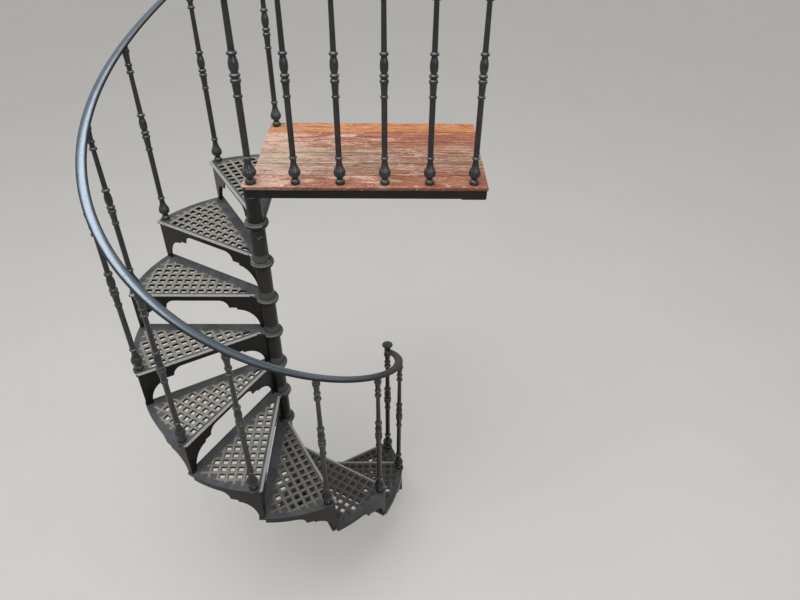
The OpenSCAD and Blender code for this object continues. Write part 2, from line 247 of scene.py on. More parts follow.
def lathed(
    name: str,
    profile: Sequence[Point],
    segments: int,
    head: Callable[[float, float], float] | None = None,
    relief: Callable[[np.ndarray, float], np.ndarray] | None = None,
) -> bpy.types.Mesh:
    """Turns a profile of (radius, height) points into a closed solid of revolution.

    Args:
        name: Name of the mesh.
        profile: Points from the foot to the head, with no point on the axis.
        segments: Number of faces round the axis.
        head: Height of the last ring at a point (x, y), where the head is cut to a slope.
        relief: Depth of cast ornament at the angles of a ring and its height.

    Returns:
        The closed mesh.
    """
    angles = np.linspace(0, 2 * math.pi, segments, endpoint=False)
    loops = []
    for place, (radius, height) in enumerate(profile):
        if relief is not None:
            radius = radius - relief(angles, height)
        x, y = radius * np.cos(angles), radius * np.sin(angles)
        z = np.full(segments, height)
        if head is not None and place == len(profile) - 1:
            z = np.array([head(a, b) for a, b in zip(x, y)])
        loops.append(np.stack([x, y, z], axis=1))
    return mesh_of_loops(name, loops)


# Helpers for materials


def linear(hex_colour: str) -> tuple[float, float, float, float]:
    """Turns an sRGB hex colour such as #8a4a3c into linear RGBA."""
    channels = [int(hex_colour[k : k + 2], 16) / 255 for k in (1, 3, 5)]
    return (*[c / 12.92 if c <= 0.04045 else ((c + 0.055) / 1.055) ** 2.4 for c in channels], 1.0)


def add_node(
    tree: bpy.types.NodeTree, kind: str, inputs: dict[Any, Any] | None = None, **settings: Any
) -> bpy.types.Node:
    """Adds a shader node with its settings and links.

    Args:
        tree: The node tree.
        kind: The node's type name.
        inputs: Numbers, hex colours, sockets or patterns, by input name or number.
        **settings: Attributes of the node.

    Returns:
        The new node.
    """
    node = tree.nodes.new(kind)
    for name, value in settings.items():
        setattr(node, name, value)
    for key, value in (inputs or {}).items():
        value = getattr(value, "socket", value)
        if isinstance(value, bpy.types.NodeSocket):
            tree.links.new(value, node.inputs[key])
        else:
            node.inputs[key].default_value = linear(value) if isinstance(value, str) else value
    return node


def seen_directly(tree: bpy.types.NodeTree) -> bpy.types.NodeSocket:
    """Tells the rays of the camera, of mirrors and through glass from those that carry light.

    Args:
        tree: The node tree of a material or the world.

    Returns:
        A socket that is 1 for what is seen and 0 for light.
    """
    path = add_node(tree, "ShaderNodeLightPath").outputs
    seen: Any = 0.0
    for ray in ("Is Camera Ray", "Is Glossy Ray", "Is Transmission Ray"):
        seen = add_node(tree, "ShaderNodeMath", {0: seen, 1: path[ray]}, operation="MAXIMUM").outputs[0]
    return seen


@dataclass(frozen=True)
class Layer:
    """One layer of a finish: its colour, and where the pattern that it follows begins it and makes it whole.

    Begin is the larger where the layer lies in the weak parts of its pattern. Share is how much it covers.
    """

    colour: str
    begin: float
    whole: float
    share: float = 1.0


@dataclass(frozen=True)
class Blotches(Layer):
    """A layer that lies in blotches of its own, with their size, octaves and roughness."""

    size_mm: float = 24.0
    detail: float = 6.0
    rough: float = 0.7


class Pattern:
    """A number or colour that varies over a surface; sums of patterns are written as sums."""

    def __init__(self, recipe: "Recipe", socket: bpy.types.NodeSocket) -> None:
        """Keeps the recipe that the pattern belongs to and the socket that carries it."""
        self.recipe, self.socket = recipe, socket

    def __add__(self, other: Any) -> "Pattern":
        """Adds a pattern or a number."""
        return self.recipe.sum("ADD", self, other)

    def __mul__(self, other: Any) -> "Pattern":
        """Multiplies by a pattern or a number."""
        return self.recipe.sum("MULTIPLY", self, other)

    def __sub__(self, other: Any) -> "Pattern":
        """Takes away a pattern or a number."""
        return self.recipe.sum("SUBTRACT", self, other)

    def __rsub__(self, other: float) -> "Pattern":
        """Takes the pattern away from a number."""
        return self.recipe.sum("SUBTRACT", other, self)

    def __truediv__(self, other: Any) -> "Pattern":
        """Divides by a pattern or a number."""
        return self.recipe.sum("DIVIDE", self, other)

    __radd__, __rmul__ = __add__, __mul__

    def rise(self, begin: float, whole: float) -> "Pattern":
        """Returns 0 before begin, 1 past whole and a smooth rise between; begin may be the larger."""
        reach = {0: self, 1: begin, 2: whole, 3: 0.0, 4: 1.0}
        return self.recipe.add("ShaderNodeMapRange", reach, interpolation_type="SMOOTHSTEP")


class Recipe:
    """A material that is being written, with short words for what the finishes repeat."""

    def __init__(self, name: str) -> None:
        """Starts an empty material.

        Args:
            name: Name of the finish.
        """
        self.material = bpy.data.materials.new(name)
        self.material.use_nodes = True
        self.tree = self.material.node_tree
        self.tree.nodes.clear()
        self.place = self.add("ShaderNodeTexCoord", output="Object")
        self.normal = self.add("ShaderNodeNewGeometry", output="Normal")
        self.x, self.y, self.z = (self.add("ShaderNodeSeparateXYZ", {0: self.place}, name) for name in "XYZ")
        self.up = self.add("ShaderNodeSeparateXYZ", {0: self.normal}, "Z")

    def add(
        self, kind: str, inputs: dict[Any, Any] | None = None, output: int | str = 0, **settings: Any
    ) -> Pattern:
        """Adds a node to the material, as add_node does, and returns one of its outputs."""
        return Pattern(self, add_node(self.tree, kind, inputs, **settings).outputs[output])

    def sum(self, operation: str, *terms: Any) -> Pattern:
        """Returns the result of a sum of up to three patterns or numbers."""
        return self.add("ShaderNodeMath", dict(enumerate(terms)), operation=operation)

    def grain(
        self,
        size_mm: float,
        length: float = 1.0,
        detail: float = 4.0,
        rough: float = 0.55,
        shift: Pattern | None = None,
    ) -> Pattern:
        """Adds a noise whose features have a real size.

        Args:
            size_mm: Size of a feature in millimetres.
            length: How many times longer a feature is along X, as in a board.
            detail: Octaves of finer noise.
            rough: Strength of the finer octaves.
            shift: What moves the pattern, different on each board.

        Returns:
            The noise value, about 0.5 on average.
        """
        drawn = self.add("ShaderNodeMapping", {"Vector": self.place, "Scale": (1.0 / length, 1.0, 1.0)})
        inputs = {"Vector": drawn, "Scale": 1.0 / (size_mm * MM), "Detail": detail, "Roughness": rough}
        if shift is None:
            return self.add("ShaderNodeTexNoise", inputs)
        return self.add("ShaderNodeTexNoise", {"Vector": drawn, "W": shift, **inputs}, noise_dimensions="4D")

    def mix(self, share: Any, under: Any, coat: Any) -> Pattern:
        """Covers a colour with another by a share; each is a hex word or a pattern."""
        return self.add("ShaderNodeMix", {0: share, 6: under, 7: coat}, 2, data_type="RGBA")

    def lay(self, under: Any, layer: Layer, pattern: Pattern, *where: Any) -> Pattern:
        """Lays one layer of a finish over the colour below.

        Args:
            under: The colour below.
            layer: The layer.
            pattern: The pattern that it follows.
            *where: Shares that keep it to a part of the surface.

        Returns:
            The colour with the layer on it.
        """
        mask = pattern.rise(layer.begin, layer.whole)
        for share in (*where, layer.share):
            mask = mask * share
        return self.mix(mask, under, layer.colour)

    def blotch(self, under: Any, layer: Blotches, *where: Any) -> Pattern:
        """Lays a layer over the colour below, in blotches of its own."""
        return self.lay(under, layer, self.grain(layer.size_mm, 1.0, layer.detail, layer.rough), *where)

    def edges(self, radius_mm: float) -> tuple[Pattern, Pattern]:
        """Rounds the edges of the shading, as in a casting, and finds them for wear and for painted
        highlights.

        Args:
            radius_mm: Radius of the rounding in millimetres.

        Returns:
            The rounded normal, and a mask that is 1 along the edges.
        """
        rounded = self.add("ShaderNodeBevel", {"Radius": radius_mm * MM}, samples=BEVEL_SAMPLES)
        both = {0: rounded, 1: self.normal}
        same = self.add("ShaderNodeVectorMath", both, "Value", operation="DOT_PRODUCT")
        return rounded, same.rise(*EDGE_BEND)

    def finish(
        self, colour: Pattern, rough: Any, height: Pattern, depth_mm: float, normal: Any = None, **shader: Any
    ) -> bpy.types.Material:
        """Ends the material in one shader with bump.

        Args:
            colour: Its colour.
            rough: Its roughness, a pattern or a number.
            height: Pattern of the bump.
            depth_mm: Depth of the bump in millimetres.
            normal: Normal that the bump starts from, where it isn't the surface's own.
            **shader: Further inputs of the shader, with underscores for spaces.

        Returns:
            The finished material.
        """
        relief = {"Height": height, "Distance": depth_mm * MM, "Normal": normal or self.normal}
        bump = self.add("ShaderNodeBump", {"Strength": 1.0, **relief})
        inputs = {"Base Color": colour, "Roughness": rough, "Normal": bump}
        inputs |= {name.replace("_", " "): value for name, value in shader.items()}
        surface = self.add("ShaderNodeBsdfPrincipled", inputs)
        add_node(self.tree, "ShaderNodeOutputMaterial", {"Surface": surface})
        return self.material


# Finishes


@dataclass(frozen=True)
class BlackIronPaint:
    """Brushed black gloss paint over sand-cast iron.

    The sand leaves a soft orange-peel surface, whatever faces up takes grey dust and a painted highlight,
    and edges are rubbed to a lighter grey that is partly a painted highlight. Near the ground the paint is
    darker: painted shade.
    """

    name: str
    paint: str = "#0f0f10"
    # Grey dust, and partly a painted highlight, on whatever faces up.
    dust: str = "#868c88"
    # Lighter grey of rubbed edges, partly a painted highlight on the upper edges.
    edge_wear_and_highlight: str = "#6d7173"
    faded: Layer = Layer("#1d1b1a", 0.3, 0.75)
    rust: Blotches = Blotches("#5d3a26", 0.6, 0.74)
    # Painted shade: the paint is made darker towards the bottom.
    painted_low_shade: Layer = Layer("#110e0c", 1.9, 0.9, 0.9)
    dust_and_highlight_faces: Span = (0.2, 0.95)
    dust_gathers: Span = (0.25, 0.6)
    dust_and_highlight_share: float = 0.65
    dust_dulls: float = 0.35
    rust_share: float = 0.3
    rubbed: Span = (0.28, 0.5)
    rubbed_and_lit_side: Span = (-0.3, 0.5)
    edge_share: float = 0.7
    # How much the painted shade low down dims the light edges.
    low_shade_hides: float = 0.4
    gloss: float = 0.32
    coat: float = 0.1
    coat_rough: float = 0.14
    specular: float = 0.25
    patch_mm: float = 60.0
    rub_mm: float = 11.0
    brush_mm: float = 9.0
    brush_share: float = 0.8
    # The grains of the moulding sand are under 1 mm and are drawn coarser, so that they show.
    sand_mm: float = 2.6
    depth_mm: float = 0.16
    round_mm: float = 1.2

    def build(self) -> bpy.types.Material:
        """Writes the material.

        Returns:
            The finished material.
        """
        r = Recipe(self.name)
        patches = r.grain(self.patch_mm)
        # Grey on whatever faces up: dust, and partly a painted highlight.
        dust_and_highlight = r.up.rise(*self.dust_and_highlight_faces) * patches.rise(*self.dust_gathers) * self.dust_and_highlight_share
        rounded, rim = r.edges(self.round_mm)
        # Upper edges go lighter: rubbed paint, and partly a painted highlight.
        worn = rim * r.grain(self.rub_mm, detail=5).rise(*self.rubbed) * r.up.rise(*self.rubbed_and_lit_side)
        # Painted shade: how far down the darkening reaches.
        low_shade = r.z.rise(self.painted_low_shade.begin, self.painted_low_shade.whole)
        colour = r.lay(self.paint, self.faded, patches)
        colour = r.blotch(colour, self.rust, self.rust_share)
        colour = r.mix(dust_and_highlight, colour, self.dust)
        # Painted shade: darker towards the bottom.
        colour = r.lay(colour, self.painted_low_shade, r.z)
        # Light edges: rubbed paint and partly a painted highlight, dimmed by the painted shade low down.
        colour = r.mix(worn * (self.edge_share - low_shade * self.low_shade_hides), colour, self.edge_wear_and_highlight)
        return r.finish(
            colour,
            self.gloss + dust_and_highlight * self.dust_dulls,
            r.grain(self.sand_mm, detail=3) + r.grain(self.brush_mm) * self.brush_share,
            self.depth_mm,
            rounded,
            Specular_IOR_Level=self.specular,
            Coat_Weight=self.coat,
            Coat_Roughness=self.coat_rough,
        )


@dataclass(frozen=True)
class TroddenIronPaint:
    """Black paint on cast-iron steps, walked down to a brown-grey film on the lattice.

    The wear follows each step's own sector: plain margins stay slate grey, the lattice bars go pale along
    their middle, the nosing is rubbed along its edge, and the lowest steps are darkened with painted shade.
    """

    plan: "Plan"
    pitch: float = 0.045
    lattice_start: float = 0.178
    first_row: float = 0.0355
    nosing_margin: float = 0.022
    rim_margin: float = 0.040
    back_margin: float = 0.018
    hub_margin: float = 0.060
    fade: float = 0.012
    bead: float = 0.011
    collar: float = 0.066
    collar_fade: float = 0.004
    bar_middle: Span = (0.3, 0.42)
    margin: str = "#3a3d3f"
    margin_light: Layer = Layer("#54575a", 0.35, 0.7)
    speckle: Layer = Layer("#6a6b6d", 0.5, 0.7, 0.7)
    lattice: str = "#5b5954"
    ridge: Layer = Layer("#8f8b82", 0.25, 0.5)
    scuff: Layer = Layer("#b0aca3", 0.52, 0.68)
    grime: Layer = Layer("#2d2b29", 0.46, 0.32, 0.7)
    moss: Blotches = Blotches("#53563f", 0.56, 0.72, 0.35, 34.0, 5.0, 0.55)
    blush: Blotches = Blotches("#8c6a5c", 0.58, 0.7, 0.4, 19.0, 6.0, 0.72)
    paint: str = "#0e0e0e"
    faded: Layer = Layer("#1a1918", 0.35, 0.8)
    rust: Blotches = Blotches("#5f412f", 0.6, 0.74, 0.4, 18.0)
    nosing: Layer = Layer("#a3a29e", 0.2, 0.52)
    # Grey on the collar tops: dust, and partly a painted highlight.
    dust: Layer = Layer("#4e514c", 0.1, 0.5)
    # Light edges that face up: worn paint, and partly a painted highlight.
    edge_wear_and_highlight: Layer = Layer("#a3a29e", 0.3, 0.55, 0.9)
    # Painted shade: the steps are made darker towards the bottom, less so on the plain margins.
    painted_low_shade: Layer = Layer("#191714", 1.35, 0.6, 0.85)
    margin_low_shade: float = 0.35
    faces_up: Span = (0.45, 0.85)
    bead_side: Span = (-0.1, 0.6)
    edge_side: Span = (-0.1, 0.55)
    dust_and_highlight_side: Span = (0.1, 0.7)
    ragged: float = 0.8
    worn_through: Span = (0.3, 0.8)
    walked: Span = (0.1, 0.5)
    gloss: float = 0.36
    tread_dulls: float = 0.5
    patch_mm: float = 80.0
    scuff_mm: float = 6.0
    # As on the column, the sand's grain is drawn coarser than it is, so that it shows.
    sand_mm: float = 2.8
    scuff_depth: float = 1.1
    depth_mm: float = 0.3
    round_mm: float = 1.6

    def ridges(self, r: Recipe, along: Pattern, behind: Pattern) -> Pattern:
        """Finds the middle of the lattice bars.

        Args:
            r: The material that is being written.
            along: Distance along the nosing from the column axis.
            behind: Distance behind the nosing.

        Returns:
            A mask that is 1 along the middle of each bar.
        """
        masks = []
        for place, start in ((along, self.lattice_start), (behind, self.first_row)):
            share = r.sum("FRACT", (place - start) / self.pitch + 0.5)
            masks.append(r.sum("ABSOLUTE", share - 0.5).rise(*self.bar_middle))
        return r.sum("MAXIMUM", *masks)

    def build(self) -> bpy.types.Material:
        """Writes the material.

        Returns:
            The finished material.
        """
        r, plan, fade = Recipe("trodden_black_paint_on_cast_iron"), self.plan, self.fade
        radius = r.sum("SQRT", r.x * r.x + r.y * r.y)
        nosing = plan.nosing(0) - r.sum("ROUND", r.z / plan.rise) * plan.turn
        ahead = r.sum("WRAP", nosing - r.sum("ARCTAN2", r.y, r.x), math.pi, -math.pi)
        along, behind = (radius * r.sum(name, ahead) for name in ("COSINE", "SINE"))
        to_back = radius * r.sum("SINE", plan.turn - ahead)
        patches = r.grain(self.patch_mm, detail=5, rough=0.6)
        scuffs = r.grain(self.scuff_mm, detail=7, rough=0.74)
        outer = plan.rim - self.rim_margin
        trodden = (
            behind.rise(self.nosing_margin - fade, self.nosing_margin + fade / 2)
            * to_back.rise(self.back_margin - fade, self.back_margin + fade / 2)
            * radius.rise(outer + fade, outer - fade / 2)
            * along.rise(self.lattice_start - self.hub_margin, self.lattice_start)
        )
        ragged = trodden + (scuffs - 0.5) * self.ragged
        worn = ragged.rise(*self.worn_through) * patches.rise(*self.walked)
        bars = self.ridges(r, along, behind) * worn

        plate = r.lay(self.margin, self.margin_light, patches)
        plate = r.lay(plate, self.speckle, scuffs)
        plate = r.mix(worn, plate, self.lattice)
        plate = r.lay(plate, self.ridge, scuffs, bars)
        plate = r.lay(plate, self.scuff, scuffs, bars)
        plate = r.lay(plate, self.grime, scuffs)
        plate = r.blotch(r.blotch(plate, self.moss), self.blush)
        sides = r.blotch(r.lay(self.paint, self.faded, patches), self.rust)
        top = r.up.rise(*self.faces_up)
        colour = r.mix(top, sides, plate)

        rounded, rim = r.edges(self.round_mm)
        on_bead = behind.rise(self.bead, self.bead / 2) * r.up.rise(*self.bead_side)
        colour = r.lay(colour, self.nosing, scuffs, on_bead)
        # Collar tops that face up: dust, and partly a painted highlight.
        collar_dust_and_highlight = radius.rise(self.collar + self.collar_fade, self.collar) * r.up.rise(*self.dust_and_highlight_side)
        colour = r.lay(colour, self.dust, patches, collar_dust_and_highlight)
        # Light edges that face up: worn paint, and partly a painted highlight.
        colour = r.lay(colour, self.edge_wear_and_highlight, scuffs, rim * r.up.rise(*self.edge_side))
        # Painted shade: darker towards the bottom, in full on the lattice and on faces that look down.
        low_shade_reach = r.sum("MAXIMUM", worn, r.up.rise(*reversed(self.faces_up)))
        colour = r.lay(colour, self.painted_low_shade, r.z, self.margin_low_shade + low_shade_reach * (1 - self.margin_low_shade))
        rough = self.gloss + top * patches * self.tread_dulls
        height = r.grain(self.sand_mm, detail=3) + scuffs * self.scuff_depth
        return r.finish(colour, rough, height, self.depth_mm, rounded, Specular_IOR_Level=0.3)


@dataclass(frozen=True)
class HandPolishedRail:
    """Black gloss paint on a rolled steel bar, rubbed by hands to a blue-grey shine along the crown; its
    lighter up-facing colours are partly a painted reflection.

    The upper turns are the brightest and the most polished and the lowest are brown-black: painted light and
    shade by height.
    """

    paint: str = "#101114"
    # Lighter shoulder colour: partly worn paint, partly a painted reflection.
    shoulder_and_sheen: str = "#2b2f34"
    crown: str = "#667079"
    # Painted shade: the colour of the rail's lowest turns.
    painted_low_shade: str = "#17120f"
    chip: Layer = Layer("#1b1c1f", 0.58, 0.68, 0.4)
    dust: Blotches = Blotches("#6b6a63", 0.6, 0.7, 0.3, 30.0)
    shoulder_side: Span = (0.3, 0.75)
    crown_side: Span = (0.72, 0.84)
    # Painted light and shade: the rail is brighter and more polished higher up.
    polish_and_light_height: Span = (1.58, 1.92)
    polish_and_light_least: float = 0.06
    bare_share: float = 0.75
    streak: float = 0.09
    gloss: float = 0.4
    hands_polish: float = 0.2
    streak_dulls: float = 0.2
    streak_mm: float = 46.0
    chip_mm: float = 8.0
    wave_mm: float = 14.0
    brush_mm: float = 3.0
    depth_mm: float = 0.03

    def build(self) -> bpy.types.Material:
        """Writes the material.

        Returns:
            The finished material.
        """
        r = Recipe("hand_polished_black_rail_paint")
        streaks = r.grain(self.streak_mm, detail=5, rough=0.6)
        side = r.up + (streaks - 0.5) * self.streak
        # Painted light and shade: brighter and more polished higher up, darker lower down.
        polish_and_light = r.z.rise(*self.polish_and_light_height)
        polished_and_lit = side.rise(*self.crown_side) * (self.polish_and_light_least + polish_and_light * (1 - self.polish_and_light_least))
        # Up-facing shoulder: partly a painted reflection, with painted shade lower down.
        shoulder_and_sheen = r.mix(polish_and_light, self.painted_low_shade, self.shoulder_and_sheen)
        colour = r.mix(side.rise(*self.shoulder_side), self.paint, shoulder_and_sheen)
        colour = r.mix(polished_and_lit, colour, self.crown)
        chips = r.grain(self.chip_mm, detail=6, rough=0.7)
        colour = r.blotch(r.lay(colour, self.chip, chips), self.dust)
        chipped = chips.rise(self.chip.begin, self.chip.whole) * self.chip.share
        rough = self.gloss - polish_and_light * self.hands_polish + streaks * self.streak_dulls
        height = r.grain(self.wave_mm, detail=3) + r.grain(self.brush_mm, detail=2)
        bare = polished_and_lit * (self.bare_share - chipped)
        return r.finish(colour, rough, height, self.depth_mm, Specular_IOR_Level=0.25, Metallic=bare)


class Grain(Enum):
    """Patterns of the boards: size in mm, how many times longer along the board, octaves and roughness."""

    BANDS = (9.0, 16.0, 7.0, 0.7)
    FIBRES = (2.2, 24.0, 4.0, 0.65)
    PATCHES = (60.0, 3.5, 7.0, 0.7)
    BLOTS = (24.0, 3.0, 8.0, 0.78)
    SPECKS = (7.0, 3.0, 6.0, 0.75)
    CHIPS = (10.0, 2.5, 8.0, 0.75)


class Zone(Enum):
    """Parts of the deck: each bound is an axis, and the places in metres where it begins and is whole."""

    WALKED = (("y", 0.04, 0.17), ("y", 0.48, 0.32))
    ARRIVAL = (("x", 0.55, 0.0),)
    FAR = (("x", 0.45, 0.8),)
    FRONT = (("y", 0.06, -0.02),)
    LIP = (("y", 0.07, -0.03),)


@dataclass(frozen=True)
class BoardLayer(Layer):
    """A layer on the boards, with the grain that it follows.

    Ragged is how far specks break its edge, and spread is how much further it reaches in some zones.
    """

    grain: Grain = Grain.BANDS
    ragged: float = 0.0
    spread: tuple[tuple[Zone, float], ...] = ()


@dataclass(frozen=True)
class WeatheredDeckStain:
    """Red-brown stain on sawn softwood boards, washed out to pink and grey where feet and rain reach.

    The grain runs along the boards; each board takes its own shade, the walked middle goes grey, the
    arrival end goes pale, and the back board keeps an orange tone.
    """

    front: float
    pitch: float
    stain: str = "#85503e"
    weather: tuple[BoardLayer, ...] = (
        # Stain that has thinned on the soft bands and sits deep in the hard ones.
        BoardLayer("#b3775b", 0.38, 0.62),
        BoardLayer("#482a21", 0.44, 0.34, 0.5),
        # Stain that has stayed red, and bare tan wood.
        BoardLayer("#944d3a", 0.5, 0.64, 0.55, Grain.BLOTS, 0.5, ((Zone.FAR, 0.05),)),
        BoardLayer("#c18f5f", 0.52, 0.62, 0.6, Grain.PATCHES, 0.6, ((Zone.ARRIVAL, 0.05),)),
        # Washed out to pale pink, to grey and to ash.
        BoardLayer(
            "#debaa6", 0.5, 0.62, 0.8, Grain.PATCHES, 0.5,
            ((Zone.WALKED, 0.05), (Zone.ARRIVAL, 0.1), (Zone.FAR, -0.06)),
        ),
        BoardLayer("#8a7966", 0.53, 0.63, 0.7, Grain.BLOTS, 0.5, ((Zone.WALKED, 0.12), (Zone.FAR, -0.05))),
        BoardLayer("#c6b4a1", 0.6, 0.68, 0.75, Grain.BANDS, 0.6, ((Zone.WALKED, 0.08), (Zone.ARRIVAL, 0.04))),
    )
    orange: BoardLayer = BoardLayer("#d9965f", 0.38, 0.62, ragged=0.5)
    orange_deep: str = "#a9613a"
    back_board: Span = (0.57, 0.65)
    back_blots: float = 0.08
    back_share: float = 0.8
    front_red: Layer = Layer("#944d3a", 0.03, -0.035, 0.3)
    wear: tuple[BoardLayer, ...] = (
        # Old dark stain near the front, chips to bare wood, open fibres and specks.
        BoardLayer("#482a21", 0.46, 0.38, 0.45, Grain.BLOTS, 0.8, ((Zone.FRONT, 0.04),)),
        BoardLayer("#ecdfd3", 0.635, 0.67, 0.8, Grain.CHIPS, 0.0, ((Zone.LIP, 0.07),)),
        BoardLayer("#482a21", 0.45, 0.35, 0.65, Grain.FIBRES),
        BoardLayer("#482a21", 0.43, 0.34, 0.6, Grain.SPECKS),
    )
    dirt: Layer = Layer("#3c2a22", 0.455, 0.49, 0.5)
    board_middle: float = 0.484
    board_shift: float = 9.0
    gloss: float = 0.55
    patch_dulls: float = 0.35
    band_depth: float = 0.8
    depth_mm: float = 0.6

    def build(self) -> bpy.types.Material:
        """Writes the material.

        Returns:
            The finished material.
        """
        r = Recipe("weathered_red_brown_deck_stain")
        across = (r.y - self.front) / self.pitch
        board, share = r.sum("FLOOR", across), r.sum("FRACT", across)
        shade = r.add("ShaderNodeTexWhiteNoise", {"W": board}, "Value", noise_dimensions="1D")
        grains = {kind: r.grain(*kind.value, shade * self.board_shift) for kind in Grain}
        zones = {
            zone: math.prod(getattr(r, axis).rise(begin, whole) for axis, begin, whole in zone.value)
            for zone in Zone
        }

        def lay(under: Any, *layers: BoardLayer) -> Pattern:
            """Lays a row of layers on the boards.

            Args:
                under: The colour below.
                *layers: The layers, from the lowest.

            Returns:
                The new colour.
            """
            for layer in layers:
                pattern = grains[layer.grain] + (grains[Grain.SPECKS] - 0.5) * layer.ragged
                for zone, reach in layer.spread:
                    pattern = pattern + zones[zone] * reach
                under = r.lay(under, layer, pattern)
            return under

        colour = lay(self.stain, *self.weather)
        back = (r.y + grains[Grain.BLOTS] * self.back_blots).rise(*self.back_board)
        colour = r.mix(back * self.back_share, colour, lay(self.orange_deep, self.orange))
        colour = lay(r.lay(colour, self.front_red, r.y), *self.wear)
        colour = r.lay(colour, self.dirt, r.sum("ABSOLUTE", share - self.board_middle))
        rough = self.gloss + grains[Grain.PATCHES] * self.patch_dulls
        height = grains[Grain.BANDS] * self.band_depth + grains[Grain.FIBRES]
        return r.finish(colour, rough, height, self.depth_mm, Specular_IOR_Level=0.3)


@dataclass(frozen=True)
class ZincedSteel:
    """Zinc-plated steel of bolts and nuts, gone dull, with black paint that has run onto it."""

    zinc: str = "#8b8d8c"
    paint: Blotches = Blotches("#2a2a2b", 0.42, 0.6, 1.0, 12.0, 5.0, 0.55)
    gloss: float = 0.45
    metal: float = 0.55
    plating_mm: float = 3.0
    depth_mm: float = 0.08

    def build(self) -> bpy.types.Material:
        """Writes the material.

        Returns:
            The finished material.
        """
        r = Recipe("dulled_zinc_on_steel_fixings")
        colour = r.blotch(self.zinc, self.paint)
        return r.finish(colour, self.gloss, r.grain(self.plating_mm), self.depth_mm, Metallic=self.metal)


@dataclass(frozen=True)
class StudioPaper:
    """Matt off-white paper of the studio floor.

    The camera, mirrors and glass see it pale and partly lit from behind; the light that it sheds is grey.
    """

    tone: str = "#dddbd6"
    cloud: str = "#e3e1dc"
    cloud_mm: float = 900.0
    stray: str = "#8f8d89"
    glow: float = 0.78
    glow_share: float = 0.45

    def build(self) -> bpy.types.Material:
        """Writes the material.

        Returns:
            The finished material.
        """
        r = Recipe("matt_studio_paper")
        seen = Pattern(r, seen_directly(r.tree))
        paper = r.mix(r.grain(self.cloud_mm), self.tone, self.cloud)
        matt = r.add("ShaderNodeBsdfDiffuse", {"Color": r.mix(seen, self.stray, paper)})
        lit = r.add("ShaderNodeEmission", {"Color": paper, "Strength": self.glow})
        both = r.add("ShaderNodeMixShader", {0: seen * self.glow_share, 1: matt, 2: lit})
        add_node(r.tree, "ShaderNodeOutputMaterial", {"Surface": both})
        return r.material


# The stair


def is_step(node: str) -> bool:
    """Tells whether a CAD node is one of the cast steps."""
    return node.startswith("step_") and node[5:].isdigit()


def axis_of(node: str) -> Point:
    """Returns the place (x, y) of a post's axis, which is the middle of its CAD box."""
    low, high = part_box(node)
    return (low.x + high.x) / 2, (low.y + high.y) / 2


def around(radius: float, degrees: float, height: float) -> Vector:
    """Returns a point round the column axis."""
    a = math.radians(degrees)
    return Vector((radius * math.cos(a), radius * math.sin(a), height))


def add_piece(
    name: str, mesh: bpy.types.Mesh, finish: bpy.types.Material, shade: Shade, node: str = ""
) -> None:
    """Adds a piece of the stair, which rides on its body.

    Args:
        name: Name of the piece.
        mesh: Its finished mesh.
        finish: The material of all its faces.
        shade: How its edges are shaded.
        node: The CAD node that it replaces, if any.
    """
    piece = make_object(name, mesh, finish, shade)
    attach(piece, BODY)
    if node:
        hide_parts(node)
    LOG.info("%s: %d faces", name, len(mesh.polygons))


@dataclass(frozen=True)
class Plan:
    """Sizes that several sub-assemblies share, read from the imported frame."""

    rise: float
    step_count: int
    rim: float
    head_top: float
    landing_top: float
    turn: float = math.radians(30)
    arrival: float = math.radians(90)
    boss: float = 0.003
    plate: float = 0.013
    frame_bar: float = 0.006

    @classmethod
    def from_frame(cls, nodes: Iterable[str]) -> "Plan":
        """Reads the plan from the boxes of the CAD nodes.

        Args:
            nodes: Names of the CAD nodes.

        Returns:
            The plan.
        """
        count = sum(is_step(name) for name in nodes)
        return cls(
            rise=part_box("step_2")[1].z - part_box("step_1")[1].z,
            step_count=count,
            rim=-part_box("step_8")[0].x,
            head_top=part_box(f"step_{count}")[1].z - cls.boss,
            landing_top=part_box("deck_boards")[1].z,
        )

    def nosing(self, step: int) -> float:
        """Direction of the nosing of a step, in radians; step 1 is the lowest."""
        return self.arrival + self.turn * (self.step_count + 1 - step)


